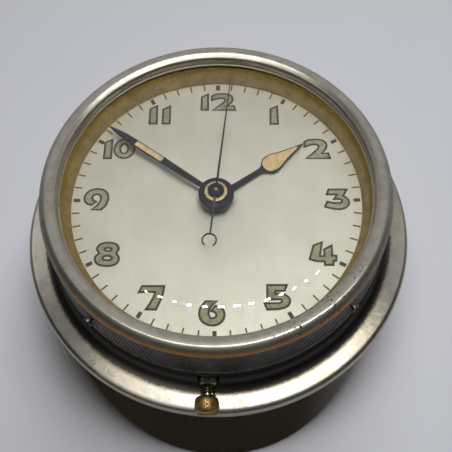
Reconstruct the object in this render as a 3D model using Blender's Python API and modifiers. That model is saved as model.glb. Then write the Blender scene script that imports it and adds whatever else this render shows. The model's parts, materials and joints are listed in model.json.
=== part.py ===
"""Ship's deck clock with centre seconds, wound by its knurled rim, lying on its back.

Lengths below are millimetres and each mesh is scaled to metres as its object is made.
The frame: +Z runs from the back cover to the dial, the set button points along -Y, and
the origin is the middle of the back cover's rear face.
"""

import math

import bmesh
import bpy
from mathutils import Matrix, Vector

MM = 0.001
GAP = 0.3
FINE = 36
COARSE = 10

# Heights above the rear face
DIAL_FACE = 41.6
BEZEL_MIDDLE = 49.2
RIM_LOW, RIM_HIGH = 37.3, 48.6
SHOULDER = 37.0
FLANGE_FRONT, FLANGE_BACK = 29.1, 26.0
FRONT_PLATE = (34.3, 35.8)
BACK_PLATE = (17.5, 19.0)
STEM_HEIGHT = 32.1
COVER_THICKNESS = 1.6

# Radii
FLANGE_RADIUS = 50.5
WALL_RADIUS = 42.7
NECK_RADIUS = 39.0
CAN_RADIUS = 39.0
SHEET = 0.9
FILLET = 4.2
BEZEL_RADIUS = 42.35
LIP_RADIUS = 38.05
RIM_INNER = 41.75
DIAL_RADIUS = 37.9
GLASS_RADIUS = 40.1
PLATE_RADIUS = 36.0
PILLAR_RING = 32.5
PILLAR_ANGLES = (45, 145, 285)

# The dial and its hands are turned a little from the button's line; the time shown is 1:51
DIAL_TWIST = 2.2
MINUTE_ANGLE = 306.1
HOUR_ANGLE = 54.3
SECONDS_ANGLE = 5.8
RIM_SCREW_ANGLE = 50.3

# Gear pairs: teeth of the wheel, teeth of the pinion, and the distance between their arbors
RIM_TEETH, WINDING_TEETH, WINDING_DISTANCE = 96, 18, 32.4
RATCHET_TEETH, WINDING_LEAVES, RATCHET_DISTANCE = 40, 10, 14.2
BARREL_TEETH, INTER_LEAVES, BARREL_MESH = 54, 9, 14.7
INTER_TEETH, CENTRE_LEAVES, INTER_MESH = 45, 9, 10.98
CENTRE_TEETH, THIRD_LEAVES, THIRD_MESH = 56, 7, 11.3
THIRD_TEETH, SECONDS_LEAVES = 45, 6
FOURTH_TEETH, ESCAPE_LEAVES, ESCAPE_MESH = 48, 6, 9.17
MINUTE_TEETH, CANNON_LEAVES, MOTION_MESH = 30, 10, 9.93
HOUR_TEETH, MINUTE_LEAVES = 32, 8
TOOTH_OVERLAP = 0.4

BARREL_X = -22.5
BARREL_AT = (BARREL_X, 0.0)
ESCAPE_AT = (0.0, ESCAPE_MESH)
FORK_AT = (0.0, ESCAPE_MESH + 5.2)
BALANCE_AT = (0.0, FORK_AT[1] + 7.2)
MINUTE_AT = (0.0, -MOTION_MESH)
SETTING_AT = (0.0, -2 * MOTION_MESH)
THIRD_AT = (THIRD_MESH * math.cos(math.radians(10)), THIRD_MESH * math.sin(math.radians(10)))
COCK_FOOT = (0.0, 31.5)

COLOURS = {
    "nickel": ((0.55, 0.54, 0.50), 0.30, 1.0),
    "dark_nickel": ((0.16, 0.16, 0.16), 0.45, 1.0),
    "brass": ((0.62, 0.46, 0.20), 0.35, 1.0),
    "steel": ((0.50, 0.50, 0.52), 0.30, 1.0),
    "blued_steel": ((0.03, 0.03, 0.06), 0.30, 1.0),
    "silvered": ((0.68, 0.64, 0.53), 0.45, 0.6),
    "glass": ((0.90, 0.95, 0.93), 0.05, 0.0),
}


def clear_scene():
    for obj in list(bpy.data.objects):
        bpy.data.objects.remove(obj, do_unlink=True)


def new_collection(name):
    collection = bpy.data.collections.new(name)
    bpy.context.scene.collection.children.link(collection)
    return collection


clear_scene()
PARTS = new_collection("ships_deck_clock")
WORKSHOP = new_collection("workshop")
WORKSHOP.hide_render = True


def material(slot):
    found = bpy.data.materials.get(slot)
    if found:
        return found
    colour, roughness, metallic = COLOURS[slot]
    made = bpy.data.materials.new(slot)
    made.use_nodes = True
    shader = made.node_tree.nodes["Principled BSDF"]
    shader.inputs["Base Color"].default_value = (*colour, 1.0)
    shader.inputs["Roughness"].default_value = roughness
    shader.inputs["Metallic"].default_value = metallic
    if slot == "glass":
        shader.inputs["Transmission Weight"].default_value = 1.0
    return made


# Points and outlines


def polar(radius, degrees):
    angle = math.radians(degrees)
    return radius * math.cos(angle), radius * math.sin(angle)


def arc(centre, radius, start, end, steps):
    """Points on an arc, from the start angle to the end angle in degrees."""
    turns = [start + (end - start) * step / steps for step in range(steps + 1)]
    return [(centre[0] + polar(radius, turn)[0], centre[1] + polar(radius, turn)[1]) for turn in turns]


def circle(radius, segments=COARSE, centre=(0.0, 0.0)):
    return arc(centre, radius, 0, 360, segments)[:-1]


def meeting_point(first, first_reach, second, second_reach, side):
    """The point at two distances from two centres, on the left of the line between them when side is 1."""
    line = Vector(second) - Vector(first)
    along = (line.length_squared + first_reach**2 - second_reach**2) / (2 * line.length)
    across = side * math.sqrt(first_reach**2 - along**2)
    step = line.normalized()
    return tuple(Vector(first) + step * along + Vector((-step.y, step.x)) * across)


def clock_direction(clock_angle):
    """Degrees from +X, anticlockwise, of an angle read clockwise from twelve on the turned dial."""
    return 90 + DIAL_TWIST - clock_angle


WINDING_AT = meeting_point((0, 0), WINDING_DISTANCE, BARREL_AT, RATCHET_DISTANCE, 1)
INTER_AT = meeting_point((0, 0), INTER_MESH, BARREL_AT, BARREL_MESH, 1)


def pitch_radius(teeth, other_teeth, distance):
    return distance * teeth / (teeth + other_teeth)


def gear_outline(teeth, pitch, overlap=TOOTH_OVERLAP, facing=None):
    """Pointed teeth. A tooth points in the facing direction, or a gap does for a direction after "gap"."""
    kind, degrees = facing or ("tooth", 0.0)
    shift = 0.0 if kind == "tooth" else 180.0 / teeth
    tip = pitch + overlap / 2
    root = tip - 2 * overlap
    points = []
    for tooth in range(teeth):
        angle = degrees + shift + 360.0 * tooth / teeth
        points.append(polar(tip, angle))
        points.append(polar(root, angle + 180.0 / teeth))
    return points


def direction(start, end):
    return math.degrees(math.atan2(end[1] - start[1], end[0] - start[0]))


# Meshes, in millimetres


def evaluated_mesh(obj):
    """The welded mesh of an object as its modifiers leave it. The object is removed."""
    bpy.context.view_layer.update()
    graph = bpy.context.evaluated_depsgraph_get()
    mesh = bpy.data.meshes.new_from_object(obj.evaluated_get(graph))
    mesh.transform(obj.matrix_world)
    bpy.data.objects.remove(obj, do_unlink=True)
    shape = bmesh.new()
    shape.from_mesh(mesh)
    bmesh.ops.remove_doubles(shape, verts=shape.verts, dist=0.0005)
    shape.to_mesh(mesh)
    shape.free()
    return mesh


def helper(data, z=0.0):
    obj = bpy.data.objects.new("helper", data)
    obj.location.z = z
    obj.hide_render = True
    obj.display_type = "WIRE"
    WORKSHOP.objects.link(obj)
    return obj


def turned(profile, segments=COARSE, closed=True):
    """A profile of (radius, height) points turned about Z. It runs down its outer side."""
    shape = bmesh.new()
    corners = [shape.verts.new((radius, 0.0, height)) for radius, height in profile]
    for first, second in zip(corners, corners[1:]):
        shape.edges.new((first, second))
    if closed:
        shape.edges.new((corners[-1], corners[0]))
    mesh = bpy.data.meshes.new("profile")
    shape.to_mesh(mesh)
    shape.free()
    obj = helper(mesh)
    screw = obj.modifiers.new("turn", "SCREW")
    screw.steps = segments
    screw.render_steps = segments
    screw.use_merge_vertices = True
    screw.merge_threshold = 0.0001
    return evaluated_mesh(obj)


def rod(steps, segments=COARSE):
    """A solid turned rod. Each step is (radius, low, high), listed from the top down."""
    profile = [(0.0, steps[0][2])]
    for radius, low, high in steps:
        profile += [(radius, high), (radius, low)]
    profile.append((0.0, steps[-1][1]))
    return turned(profile, segments, closed=False)


def flat(outlines, low, high):
    """The first outline with the others cut out of it, from one height to another."""
    curve = bpy.data.curves.new("outline", "CURVE")
    curve.dimensions = "2D"
    curve.fill_mode = "BOTH"
    curve.extrude = (high - low) / 2
    for outline in outlines:
        spline = curve.splines.new("POLY")
        spline.points.add(len(outline) - 1)
        for point, (x, y) in zip(spline.points, outline):
            point.co = (x, y, 0.0, 1.0)
        spline.use_cyclic_u = True
    return evaluated_mesh(helper(curve, (low + high) / 2))


def wire(points, radius, resolution=0):
    """A round wire through the points."""
    curve = bpy.data.curves.new("wire", "CURVE")
    curve.dimensions = "3D"
    curve.bevel_depth = radius
    curve.bevel_resolution = resolution
    curve.use_fill_caps = True
    spline = curve.splines.new("POLY")
    spline.points.add(len(points) - 1)
    for point, place in zip(spline.points, points):
        point.co = (*place, 1.0)
    return evaluated_mesh(helper(curve))


def moved(mesh, x=0.0, y=0.0, z=0.0):
    mesh.transform(Matrix.Translation((x, y, z)))
    return mesh


def along_minus_y(mesh):
    """Lays a shape turned about Z along the button's line, with its heights as distances from the centre."""
    mesh.transform(Matrix.Translation((0, 0, STEM_HEIGHT)) @ Matrix.Rotation(math.radians(90), 4, "X"))
    return mesh


def radial(mesh, degrees, height):
    """Lays a shape turned about Z along a radius, with its heights as distances from the centre."""
    outwards = Matrix.Rotation(math.radians(degrees), 4, "Z") @ Matrix.Rotation(math.radians(90), 4, "Y")
    mesh.transform(Matrix.Translation((0, 0, height)) @ outwards)
    return mesh


def combined(body, others, operation):
    obj = helper(body)
    tools = [helper(other) for other in others]
    for tool in tools:
        boolean = obj.modifiers.new(operation.lower(), "BOOLEAN")
        boolean.operation = operation
        boolean.object = tool
    mesh = evaluated_mesh(obj)
    for tool in tools:
        bpy.data.objects.remove(tool, do_unlink=True)
    return mesh


def joined(body, *others):
    return combined(body, others, "UNION")


def cut(body, *others):
    return combined(body, others, "DIFFERENCE")


def piece(name, mesh, slot, pivot=(0.0, 0.0, 0.0)):
    """Makes the object for a mesh, with its origin at the pivot."""
    mesh.transform(Matrix.Scale(MM, 4) @ Matrix.Translation(-Vector(pivot)))
    mesh.name = name
    mesh.materials.clear()
    mesh.materials.append(material(slot))
    mesh.shade_smooth()
    mesh.set_sharp_from_angle(angle=math.radians(30))
    obj = bpy.data.objects.new(name, mesh)
    obj.location = Vector(pivot) * MM
    PARTS.objects.link(obj)
    return obj


def at(place):
    return (place[0], place[1], 0.0)


# Case


def case_shell():
    """Neck, shoulder, wall, fillet and a flange with its edge turned down, all in one sheet."""
    fillet_middle = (WALL_RADIUS + FILLET, FLANGE_FRONT + 0.3 + FILLET)
    edge_middle = (FLANGE_RADIUS - SHEET, FLANGE_FRONT - SHEET)
    profile = [(NECK_RADIUS, SHOULDER + 6.2), (NECK_RADIUS, SHOULDER)]
    profile += [(WALL_RADIUS - 0.4, SHOULDER), (WALL_RADIUS, SHOULDER - 0.4)]
    profile += arc(fillet_middle, FILLET, 180, 270, 5)
    profile += arc(edge_middle, SHEET, 90, 5, 3)
    profile += [(FLANGE_RADIUS, FLANGE_BACK), (FLANGE_RADIUS - SHEET + 0.1, FLANGE_BACK)]
    profile += [(FLANGE_RADIUS - SHEET, FLANGE_FRONT - SHEET - 0.3), (edge_middle[0] - 0.3, edge_middle[1])]
    profile += arc(fillet_middle, FILLET + SHEET, 270, 180, 4)
    profile += [(WALL_RADIUS - SHEET, SHOULDER - SHEET), (NECK_RADIUS - 0.8, SHOULDER - SHEET)]
    profile.append((NECK_RADIUS - 0.8, SHOULDER + 6.2))
    shell = turned(profile, FINE)
    button_hole = along_minus_y(rod([(3.0, 39.5, 46.0)], 20))
    reach, half_width = NECK_RADIUS + 2, 6.8
    window = flat([[(36, -half_width), (reach, -half_width), (reach, half_width), (36, half_width)]], 37.4, 40.1)
    window.transform(Matrix.Rotation(math.radians(direction((0, 0), WINDING_AT)), 4, "Z"))
    piece("case_shell", cut(shell, button_hole, window), "nickel")


def rear_can():
    low = COVER_THICKNESS + GAP
    profile = [(CAN_RADIUS - SHEET, 27.9), (45.5, 27.9), (45.5, 27.1), (CAN_RADIUS + 0.4, 27.1)]
    profile += [(CAN_RADIUS, 26.7), (CAN_RADIUS, low), (CAN_RADIUS - SHEET, low)]
    piece("rear_can", turned(profile, FINE), "brass")


def back_cover():
    """A cap whose skirt slips inside the can, with three counterbored holes."""
    skirt = CAN_RADIUS - SHEET - GAP
    profile = [(0, COVER_THICKNESS), (skirt - 0.9, COVER_THICKNESS), (skirt - 0.9, 4.6), (skirt, 4.6)]
    profile += [(skirt, COVER_THICKNESS), (CAN_RADIUS, COVER_THICKNESS), (CAN_RADIUS, 0.5)]
    profile += [(CAN_RADIUS - 0.5, 0), (0, 0)]
    cover = turned(profile, FINE, closed=False)
    holes = []
    for degrees in PILLAR_ANGLES:
        holes.append(moved(rod([(1.1, 0.9, 3.0), (2.2, -1.0, 0.9)]), *polar(PILLAR_RING, degrees)))
    piece("back_cover", cut(cover, *holes), "brass")


def plate_pillars():
    """Three pillars between the plates, the posts behind them, and the screws that hold the cover to the posts."""
    back_low, back_high = BACK_PLATE
    for number, degrees in enumerate(PILLAR_ANGLES, 1):
        place = polar(PILLAR_RING, degrees)
        pillar = rod([(1.8, back_high + GAP, FRONT_PLATE[0] - GAP)])
        post = rod([(0.8, back_low - GAP, back_high), (2.0, 2.6, back_low - GAP)])
        post = cut(post, rod([(1.1, 0.0, 8.0)]))
        screw = rod([(0.8, 0.75, 6.5), (1.9, 0.1, 0.75)])
        piece(f"pillar_{number}", moved(pillar, *place), "brass", at(place))
        piece(f"cover_post_{number}", moved(post, *place), "brass", at(place))
        piece(f"cover_screw_{number}", moved(screw, *place), "steel", at(place))


def plates():
    """The front plate rests under the shoulder, and both plates are bored for the arbors."""
    arbors = {WINDING_AT: 1.1, BARREL_AT: 1.5, INTER_AT: 0.8, THIRD_AT: 0.8}
    front_holes = {**arbors, (0.0, 0.0): 1.4, SETTING_AT: 1.1}
    back_holes = {**arbors, (0.0, 0.0): 0.7, ESCAPE_AT: 0.8, BALANCE_AT: 0.7}
    for degrees in PILLAR_ANGLES:
        back_holes[polar(PILLAR_RING, degrees)] = 1.1
    for name, radius, holes, heights in (
        ("front_plate", WALL_RADIUS - 1.5, front_holes, FRONT_PLATE),
        ("back_plate", PLATE_RADIUS, back_holes, BACK_PLATE),
    ):
        outlines = [circle(radius, FINE)] + [circle(size, COARSE, place) for place, size in holes.items()]
        piece(name, flat(outlines, *heights), "brass")


def dial():
    outlines = [circle(DIAL_RADIUS, FINE), circle(3.5, 16)]
    piece("dial", flat(outlines, DIAL_FACE - 0.6, DIAL_FACE), "silvered")
    outlines = [circle(DIAL_RADIUS, FINE), circle(DIAL_RADIUS - 2.4, FINE)]
    piece("dial_ring", flat(outlines, 40.0, DIAL_FACE - 0.9), "brass")


# Bezel and the winding rim


def bezel_ring():
    """A half-round roll over the glass, with a skirt that drops inside the rim."""
    thickness = (BEZEL_RADIUS - LIP_RADIUS) / 2
    profile = arc((LIP_RADIUS + thickness, BEZEL_MIDDLE), thickness, 180, 0, 8)
    profile += [(BEZEL_RADIUS - 0.05, 48.9), (41.4, 48.9), (41.4, 44.6), (40.4, 44.6), (40.4, 48.2)]
    profile.append((LIP_RADIUS, 48.2))
    piece("bezel_ring", turned(profile, FINE), "nickel")


def glass():
    """A domed glass of even thickness with a flat rim."""
    rise, half_span = 3.0, 37.7
    sphere = (half_span**2 + rise**2) / (2 * rise)
    edge = math.degrees(math.asin(half_span / sphere))
    middle = (0.0, 50.9 - sphere)
    outer = arc(middle, sphere, 90, 90 - edge, 4)
    inner = arc(middle, sphere - 1.2, 90 - edge, 90, 4)
    profile = outer + [(GLASS_RADIUS, outer[-1][1]), (GLASS_RADIUS, 46.7), (inner[0][0], 46.7)] + inner[1:]
    piece("glass", turned(profile, 32, closed=False), "glass")


def reflector_ring():
    """A cone between the dial and the glass, whose top flange holds the glass against the lip."""
    profile = [(37.6, 46.4), (GLASS_RADIUS, 46.4), (GLASS_RADIUS, 45.8), (38.3, 45.8)]
    profile += [(37.25, DIAL_FACE + GAP), (36.6, DIAL_FACE + GAP)]
    piece("reflector_ring", turned(profile, FINE), "brass")


def knurled_rim():
    profile = [(RIM_INNER, RIM_HIGH), (42.3, RIM_HIGH), (42.45, RIM_HIGH - 0.2), (43.1, RIM_LOW + 0.3)]
    profile += [(42.95, RIM_LOW), (RIM_INNER, RIM_LOW)]
    holes = [radial(rod([(0.75, 41.0, 44.0)]), RIM_SCREW_ANGLE + 90 * turn, 42.6) for turn in range(4)]
    piece("knurled_rim", cut(turned(profile, FINE), *holes), "dark_nickel")


def rim_screws():
    for turn in range(4):
        screw = radial(rod([(1.15, 43.1, 43.95), (0.45, 41.6, 43.1)]), RIM_SCREW_ANGLE + 90 * turn, 42.6)
        piece(f"rim_screw_{turn + 1}", screw, "steel")


def rim_gear():
    """An internal gear fixed inside the rim. A gap faces the winding wheel's tooth."""
    pitch = WINDING_DISTANCE * RIM_TEETH / (RIM_TEETH - WINDING_TEETH)
    facing = direction((0, 0), WINDING_AT)
    points = []
    for tooth in range(RIM_TEETH):
        angle = facing + 360.0 * tooth / RIM_TEETH
        points.append(polar(pitch + 1.5 * TOOTH_OVERLAP, angle))
        points.append(polar(pitch - TOOTH_OVERLAP / 2, angle + 180.0 / RIM_TEETH))
    piece("rim_gear", flat([circle(RIM_INNER - GAP, FINE), points], 37.6, 44.2), "brass")


# Winding and power


def winding_wheel():
    """One arbor through both plates: the wheel is driven by the rim and its pinion drives the ratchet."""
    outwards = direction((0, 0), WINDING_AT)
    to_ratchet = direction(WINDING_AT, BARREL_AT)
    pitch = WINDING_DISTANCE * WINDING_TEETH / (RIM_TEETH - WINDING_TEETH)
    wheel = flat([gear_outline(WINDING_TEETH, pitch, facing=("tooth", outwards))], 37.8, 39.4)
    leaves = pitch_radius(WINDING_LEAVES, RATCHET_TEETH, RATCHET_DISTANCE)
    pinion = flat([gear_outline(WINDING_LEAVES, leaves, facing=("tooth", to_ratchet))], 15.2, 16.8)
    body = joined(rod([(0.8, 15.0, 39.6)]), wheel, pinion)
    piece("winding_wheel", moved(body, *WINDING_AT), "brass", at(WINDING_AT))


def ratchet():
    to_pinion = direction(BARREL_AT, WINDING_AT)
    pitch = pitch_radius(RATCHET_TEETH, WINDING_LEAVES, RATCHET_DISTANCE)
    outline = gear_outline(RATCHET_TEETH, pitch, facing=("gap", to_pinion))
    wheel = flat([outline, circle(1.5)], 15.4, 16.6)
    arbor = rod([(1.2, 26.4, 35.5), (2.6, 21.5, 26.4), (1.2, 14.9, 21.5)])
    piece("ratchet_wheel", moved(wheel, *BARREL_AT), "steel", at(BARREL_AT))
    piece("barrel_arbor", moved(arbor, *BARREL_AT), "steel", at(BARREL_AT))


def click():
    """A pawl just clear of the ratchet's points, its screw, and the spring behind it."""
    pivot = (BARREL_AT[0] + polar(14.9, 50)[0], polar(14.9, 50)[1])
    back = direction(pivot, BARREL_AT)
    nose = (polar(2.95, back - 14)[0], polar(2.95, back - 14)[1])
    outline = arc((0, 0), 1.6, back + 55, back + 300, 8) + [nose]
    pawl = flat([outline, circle(0.9, 8)], 15.4, 16.4)
    screw = rod([(0.6, 15.1, 17.2), (1.3, 14.3, 15.1)])
    piece("click", moved(pawl, *pivot), "steel", at(pivot))
    piece("click_screw", moved(screw, *pivot), "steel", at(pivot))
    foot = Vector((*polar(7.0, back + 150), 16.9))
    bend = Vector((*polar(3.6, back + 140), 16.9))
    tip = Vector((*polar(2.4, back + 110), 16.0))
    spring = wire([foot, bend, (bend + tip) / 2, tip], 0.22, 1)
    piece("click_spring", moved(spring, *pivot), "steel")


def barrel():
    to_pinion = direction(BARREL_AT, INTER_AT)
    pitch = pitch_radius(BARREL_TEETH, INTER_LEAVES, BARREL_MESH)
    floor = flat([gear_outline(BARREL_TEETH, pitch, facing=("gap", to_pinion)), circle(1.5)], 19.6, 21.0)
    wall = turned([(10.9, 26.4), (11.6, 26.4), (11.6, 20.4), (10.9, 20.4)], 32)
    piece("barrel", moved(joined(floor, wall), *BARREL_AT), "brass", at(BARREL_AT))
    lid = flat([circle(11.5, 32), circle(1.5)], 26.7, 27.2)
    piece("barrel_lid", moved(lid, *BARREL_AT), "brass", at(BARREL_AT))


def mainspring():
    turns, steps, thickness = 4.5, 54, 0.4
    inner, outer = 3.2, 10.3
    inside, outside = [], []
    for step in range(steps + 1):
        radius = inner + (outer - inner) * step / steps
        degrees = 360 * turns * step / steps
        inside.append(polar(radius - thickness / 2, degrees))
        outside.append(polar(radius + thickness / 2, degrees))
    strip = flat([inside + outside[::-1]], 21.5, 26.0)
    piece("mainspring", moved(strip, *BARREL_AT), "blued_steel", at(BARREL_AT))


# Going train


def train_arbor(name, place, gears, arbor, slot="brass", bore=None):
    """Toothed wheels on one arbor. Each gear is (teeth, pitch radius, low, high, facing)."""
    wheels = []
    for teeth, pitch, low, high, facing in gears:
        wheels.append(flat([gear_outline(teeth, pitch, facing=facing)], low, high))
    body = joined(rod(arbor), *wheels)
    if bore:
        body = cut(body, rod([(bore, 0.0, 60.0)]))
    piece(name, moved(body, *place), slot, at(place))


def going_train():
    centre = (0.0, 0.0)
    inter_pinion = pitch_radius(INTER_LEAVES, BARREL_TEETH, BARREL_MESH)
    inter_wheel = pitch_radius(INTER_TEETH, CENTRE_LEAVES, INTER_MESH)
    train_arbor(
        "intermediate_wheel",
        INTER_AT,
        [
            (INTER_LEAVES, inter_pinion, 19.5, 21.2, ("tooth", direction(INTER_AT, BARREL_AT))),
            (INTER_TEETH, inter_wheel, 27.6, 28.4, ("gap", direction(INTER_AT, centre))),
        ],
        [(0.5, 17.9, 35.5)],
    )
    centre_wheel = pitch_radius(CENTRE_TEETH, THIRD_LEAVES, THIRD_MESH)
    train_arbor(
        "centre_wheel",
        centre,
        [
            (CENTRE_TEETH, centre_wheel, 25.2, 26.0, ("gap", direction(centre, THIRD_AT))),
            (CENTRE_LEAVES, INTER_MESH - inter_wheel, 27.2, 29.0, ("tooth", direction(centre, INTER_AT))),
        ],
        [(1.1, 24.8, 45.0)],
        bore=0.7,
    )
    third_wheel = pitch_radius(THIRD_TEETH, SECONDS_LEAVES, THIRD_MESH)
    train_arbor(
        "third_wheel",
        THIRD_AT,
        [
            (THIRD_TEETH, third_wheel, 23.2, 24.0, ("gap", direction(THIRD_AT, centre))),
            (THIRD_LEAVES, THIRD_MESH - centre_wheel, 24.8, 26.4, ("tooth", direction(THIRD_AT, centre))),
        ],
        [(0.5, 17.9, 35.5)],
    )
    fourth_wheel = pitch_radius(FOURTH_TEETH, ESCAPE_LEAVES, ESCAPE_MESH)
    train_arbor(
        "seconds_arbor",
        centre,
        [
            (FOURTH_TEETH, fourth_wheel, 21.8, 22.4, ("gap", direction(centre, ESCAPE_AT))),
            (SECONDS_LEAVES, THIRD_MESH - third_wheel, 22.8, 24.3, ("tooth", direction(centre, THIRD_AT))),
        ],
        [(0.4, 17.9, 47.3)],
    )
    leaves = flat([gear_outline(ESCAPE_LEAVES, ESCAPE_MESH - fourth_wheel, facing=("tooth", 270))], 21.5, 22.8)
    points = []
    for tooth in range(15):
        points += [polar(4.0, 24 * tooth), polar(2.9, 24 * tooth + 3)]
    escape = joined(rod([(0.4, 13.3, 24.6)]), leaves, flat([points], 13.6, 14.2))
    piece("escape_wheel", moved(escape, *ESCAPE_AT), "brass", at(ESCAPE_AT))


def pallet_fork():
    """Two short arms over the escape wheel and a forked tail towards the balance."""
    half = [(0.6, 5.6), (0.45, 4.6), (0.4, 1.2), (2.2, 0.6), (4.4, -1.0), (4.0, -1.7), (2.0, -0.5), (0.0, -0.9)]
    outline = half + [(-x, y) for x, y in half[-2::-1]]
    outline += [(-0.35, 5.6), (-0.25, 4.9), (0.25, 4.9), (0.35, 5.6)]
    fork = joined(flat([outline], 13.6, 14.2), rod([(0.35, 13.0, 17.2)], 8))
    piece("pallet_fork", moved(fork, *FORK_AT), "steel", at(FORK_AT))


def balance():
    rim = turned([(6.0, 12.4), (6.8, 12.4), (6.8, 11.6), (6.0, 11.6)], 32)
    spokes = flat([[(6.4, -0.5), (6.4, 0.5), (-6.4, 0.5), (-6.4, -0.5)]], 11.8, 12.2)
    staff = rod([(0.35, 12.6, 17.8), (1.0, 11.2, 12.6), (0.35, 8.4, 11.2)], 8)
    wheel = joined(rim, spokes, staff)
    piece("balance_wheel", moved(wheel, *BALANCE_AT), "brass", at(BALANCE_AT))
    points = []
    turns, steps = 4, 44
    for step in range(steps + 1):
        points.append((*polar(0.9 + 3.3 * step / steps, 360 * turns * step / steps), 10.3))
    piece("hairspring", moved(wire(points, 0.1), *BALANCE_AT), "blued_steel", at(BALANCE_AT))


def balance_cock():
    """A bridge from its foot on the back plate to the balance staff's rear pivot."""
    reach = COCK_FOOT[1] - BALANCE_AT[1]
    outline = arc((0, -reach), 2.0, 180, 360, 6) + arc((0, 0), 2.6, -20, 200, 8)
    bar = flat([outline, circle(0.65, 8, (0, -reach))], 8.0, 9.2)
    foot = rod([(2.2, 8.6, BACK_PLATE[0] - GAP)])
    cock = cut(joined(bar, foot), rod([(0.9, 0.0, 13.0)], 8))
    screw = rod([(0.6, 7.7, 12.5), (1.5, 6.9, 7.7)])
    piece("balance_cock", moved(cock, *COCK_FOOT), "brass")
    piece("cock_screw", moved(screw, *COCK_FOOT), "steel")


# Motion work and hands


def motion_work():
    centre = (0.0, 0.0)
    cannon = pitch_radius(CANNON_LEAVES, MINUTE_TEETH, MOTION_MESH)
    minute = MOTION_MESH - cannon
    hour = pitch_radius(HOUR_TEETH, MINUTE_LEAVES, MOTION_MESH)
    train_arbor(
        "cannon_pinion",
        centre,
        [(CANNON_LEAVES, cannon, 36.2, 37.4, ("tooth", 270))],
        [(2.1, 36.2, 45.5)],
        "steel",
        bore=1.4,
    )
    train_arbor(
        "hour_wheel", centre, [(HOUR_TEETH, hour, 37.8, 38.7, ("gap", 270))], [(3.0, 37.8, 43.5)], bore=2.4
    )
    train_arbor(
        "minute_wheel",
        MINUTE_AT,
        [
            (MINUTE_TEETH, minute, 36.2, 37.2, ("gap", 90)),
            (MINUTE_LEAVES, MOTION_MESH - hour, 37.0, 39.2, ("tooth", 90)),
        ],
        [(0.6, 36.1, 39.6)],
    )
    train_arbor(
        "setting_wheel",
        SETTING_AT,
        [(CANNON_LEAVES, cannon, 36.2, 37.2, ("tooth", 90)), (20, 5.0, 29.5, 30.3, ("tooth", 270))],
        [(0.8, 28.9, 37.5)],
    )


def hand(name, outlines, low, high, clock_angle, slot="blued_steel", hub=None):
    """A hand drawn pointing along +X, turned to where it points on the dial."""
    blade = flat(outlines, low, high)
    if hub:
        radius, bore, hub_low, hub_high = hub
        blade = joined(blade, turned([(bore, hub_high), (radius, hub_high), (radius, hub_low), (bore, hub_low)], 20))
        blade = cut(blade, rod([(bore, hub_low - 1, hub_high + 1)]))
    blade.transform(Matrix.Rotation(math.radians(clock_direction(clock_angle)), 4, "Z"))
    piece(name, blade, slot)


def hands():
    hour_side = [(3.0, 0.9), (14.0, 0.55), (16.5, 1.5), (19.5, 2.2), (22.5, 1.7), (25.0, 0.7)]
    hour_outline = hour_side + [(27.5, 0.0)] + [(x, -y) for x, y in hour_side[::-1]]
    hand("hour_hand", [hour_outline], 42.6, 43.0, HOUR_ANGLE, hub=(4.0, 3.3, DIAL_FACE + GAP, 43.4))
    minute_side = [(3.0, 0.9), (12.0, 0.7), (17.0, 1.05), (24.0, 0.9), (30.0, 0.3)]
    minute_outline = minute_side + [(34.5, 0.0)] + [(x, -y) for x, y in minute_side[::-1]]
    hand("minute_hand", [minute_outline], 44.3, 44.7, MINUTE_ANGLE, hub=(4.4, 2.4, 43.8, 45.6))
    ring = arc((-13.7, 0), 1.9, -142, 142, 10) + arc((-13.7, 0), 1.5, 142, -142, 10)
    sweep = [(-12.1, -0.2), (0, -0.3), (34.2, -0.12), (34.2, 0.12), (0, 0.3), (-12.1, 0.2)]
    seconds = joined(flat([sweep], 46.6, 46.85), flat([ring], 46.6, 46.85))
    seconds = joined(seconds, rod([(1.95, 46.6, 47.2)], 20))
    seconds = cut(seconds, rod([(0.7, 45.0, 48.0)]))
    seconds.transform(Matrix.Rotation(math.radians(clock_direction(SECONDS_ANGLE)), 4, "Z"))
    piece("seconds_hand", seconds, "blued_steel")
    piece("hand_nut", turned([(1.4, 46.3), (2.8, 46.3), (2.8, 45.9), (1.4, 45.9)], 20), "brass")


# Set button


def set_button():
    """A stem that is pushed in against its spring and then turned."""
    collar = [(0.8, 36.4), (2.0, 36.4), (2.0, 42.4), (1.6, 42.6), (1.9, 43.3), (1.9, 43.6), (1.65, 44.8)]
    collar += [(1.35, 44.8), (1.35, 41.2), (0.8, 41.2)]
    piece("set_collar", along_minus_y(turned(collar[::-1], 16)), "nickel")
    turns, steps, low, high = 6, 54, 41.6, 46.4
    coil = []
    for step in range(steps + 1):
        coil.append((*polar(0.85, 360 * turns * step / steps), low + (high - low) * step / steps))
    piece("set_spring", along_minus_y(wire(coil, 0.18)), "steel")
    washer = turned([(0.8, 47.0), (1.5, 47.0), (1.5, 46.7), (0.8, 46.7)])
    piece("set_washer", along_minus_y(washer), "steel")
    pinion = flat([gear_outline(10, 1.3)], 25.6, 27.6)
    stem = joined(rod([(0.5, 25.3, 49.2)]), pinion)
    piece("set_stem", along_minus_y(stem), "steel", (0.0, 0.0, STEM_HEIGHT))
    knob = [(0.0, 51.4), (1.6, 51.3), (2.3, 50.8), (2.55, 50.0), (2.55, 48.2), (2.3, 47.6), (1.9, 47.3)]
    knob += [(0.8, 47.3), (0.8, 49.5), (0.0, 49.5)]
    piece("set_knob", along_minus_y(turned(knob, 20, closed=False)), "brass", (0.0, 0.0, STEM_HEIGHT))


for make in (
    case_shell,
    rear_can,
    back_cover,
    plate_pillars,
    plates,
    dial,
    bezel_ring,
    glass,
    reflector_ring,
    knurled_rim,
    rim_screws,
    rim_gear,
    winding_wheel,
    ratchet,
    click,
    barrel,
    mainspring,
    going_train,
    pallet_fork,
    balance,
    balance_cock,
    motion_work,
    hands,
    set_button,
):
    make()
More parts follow.
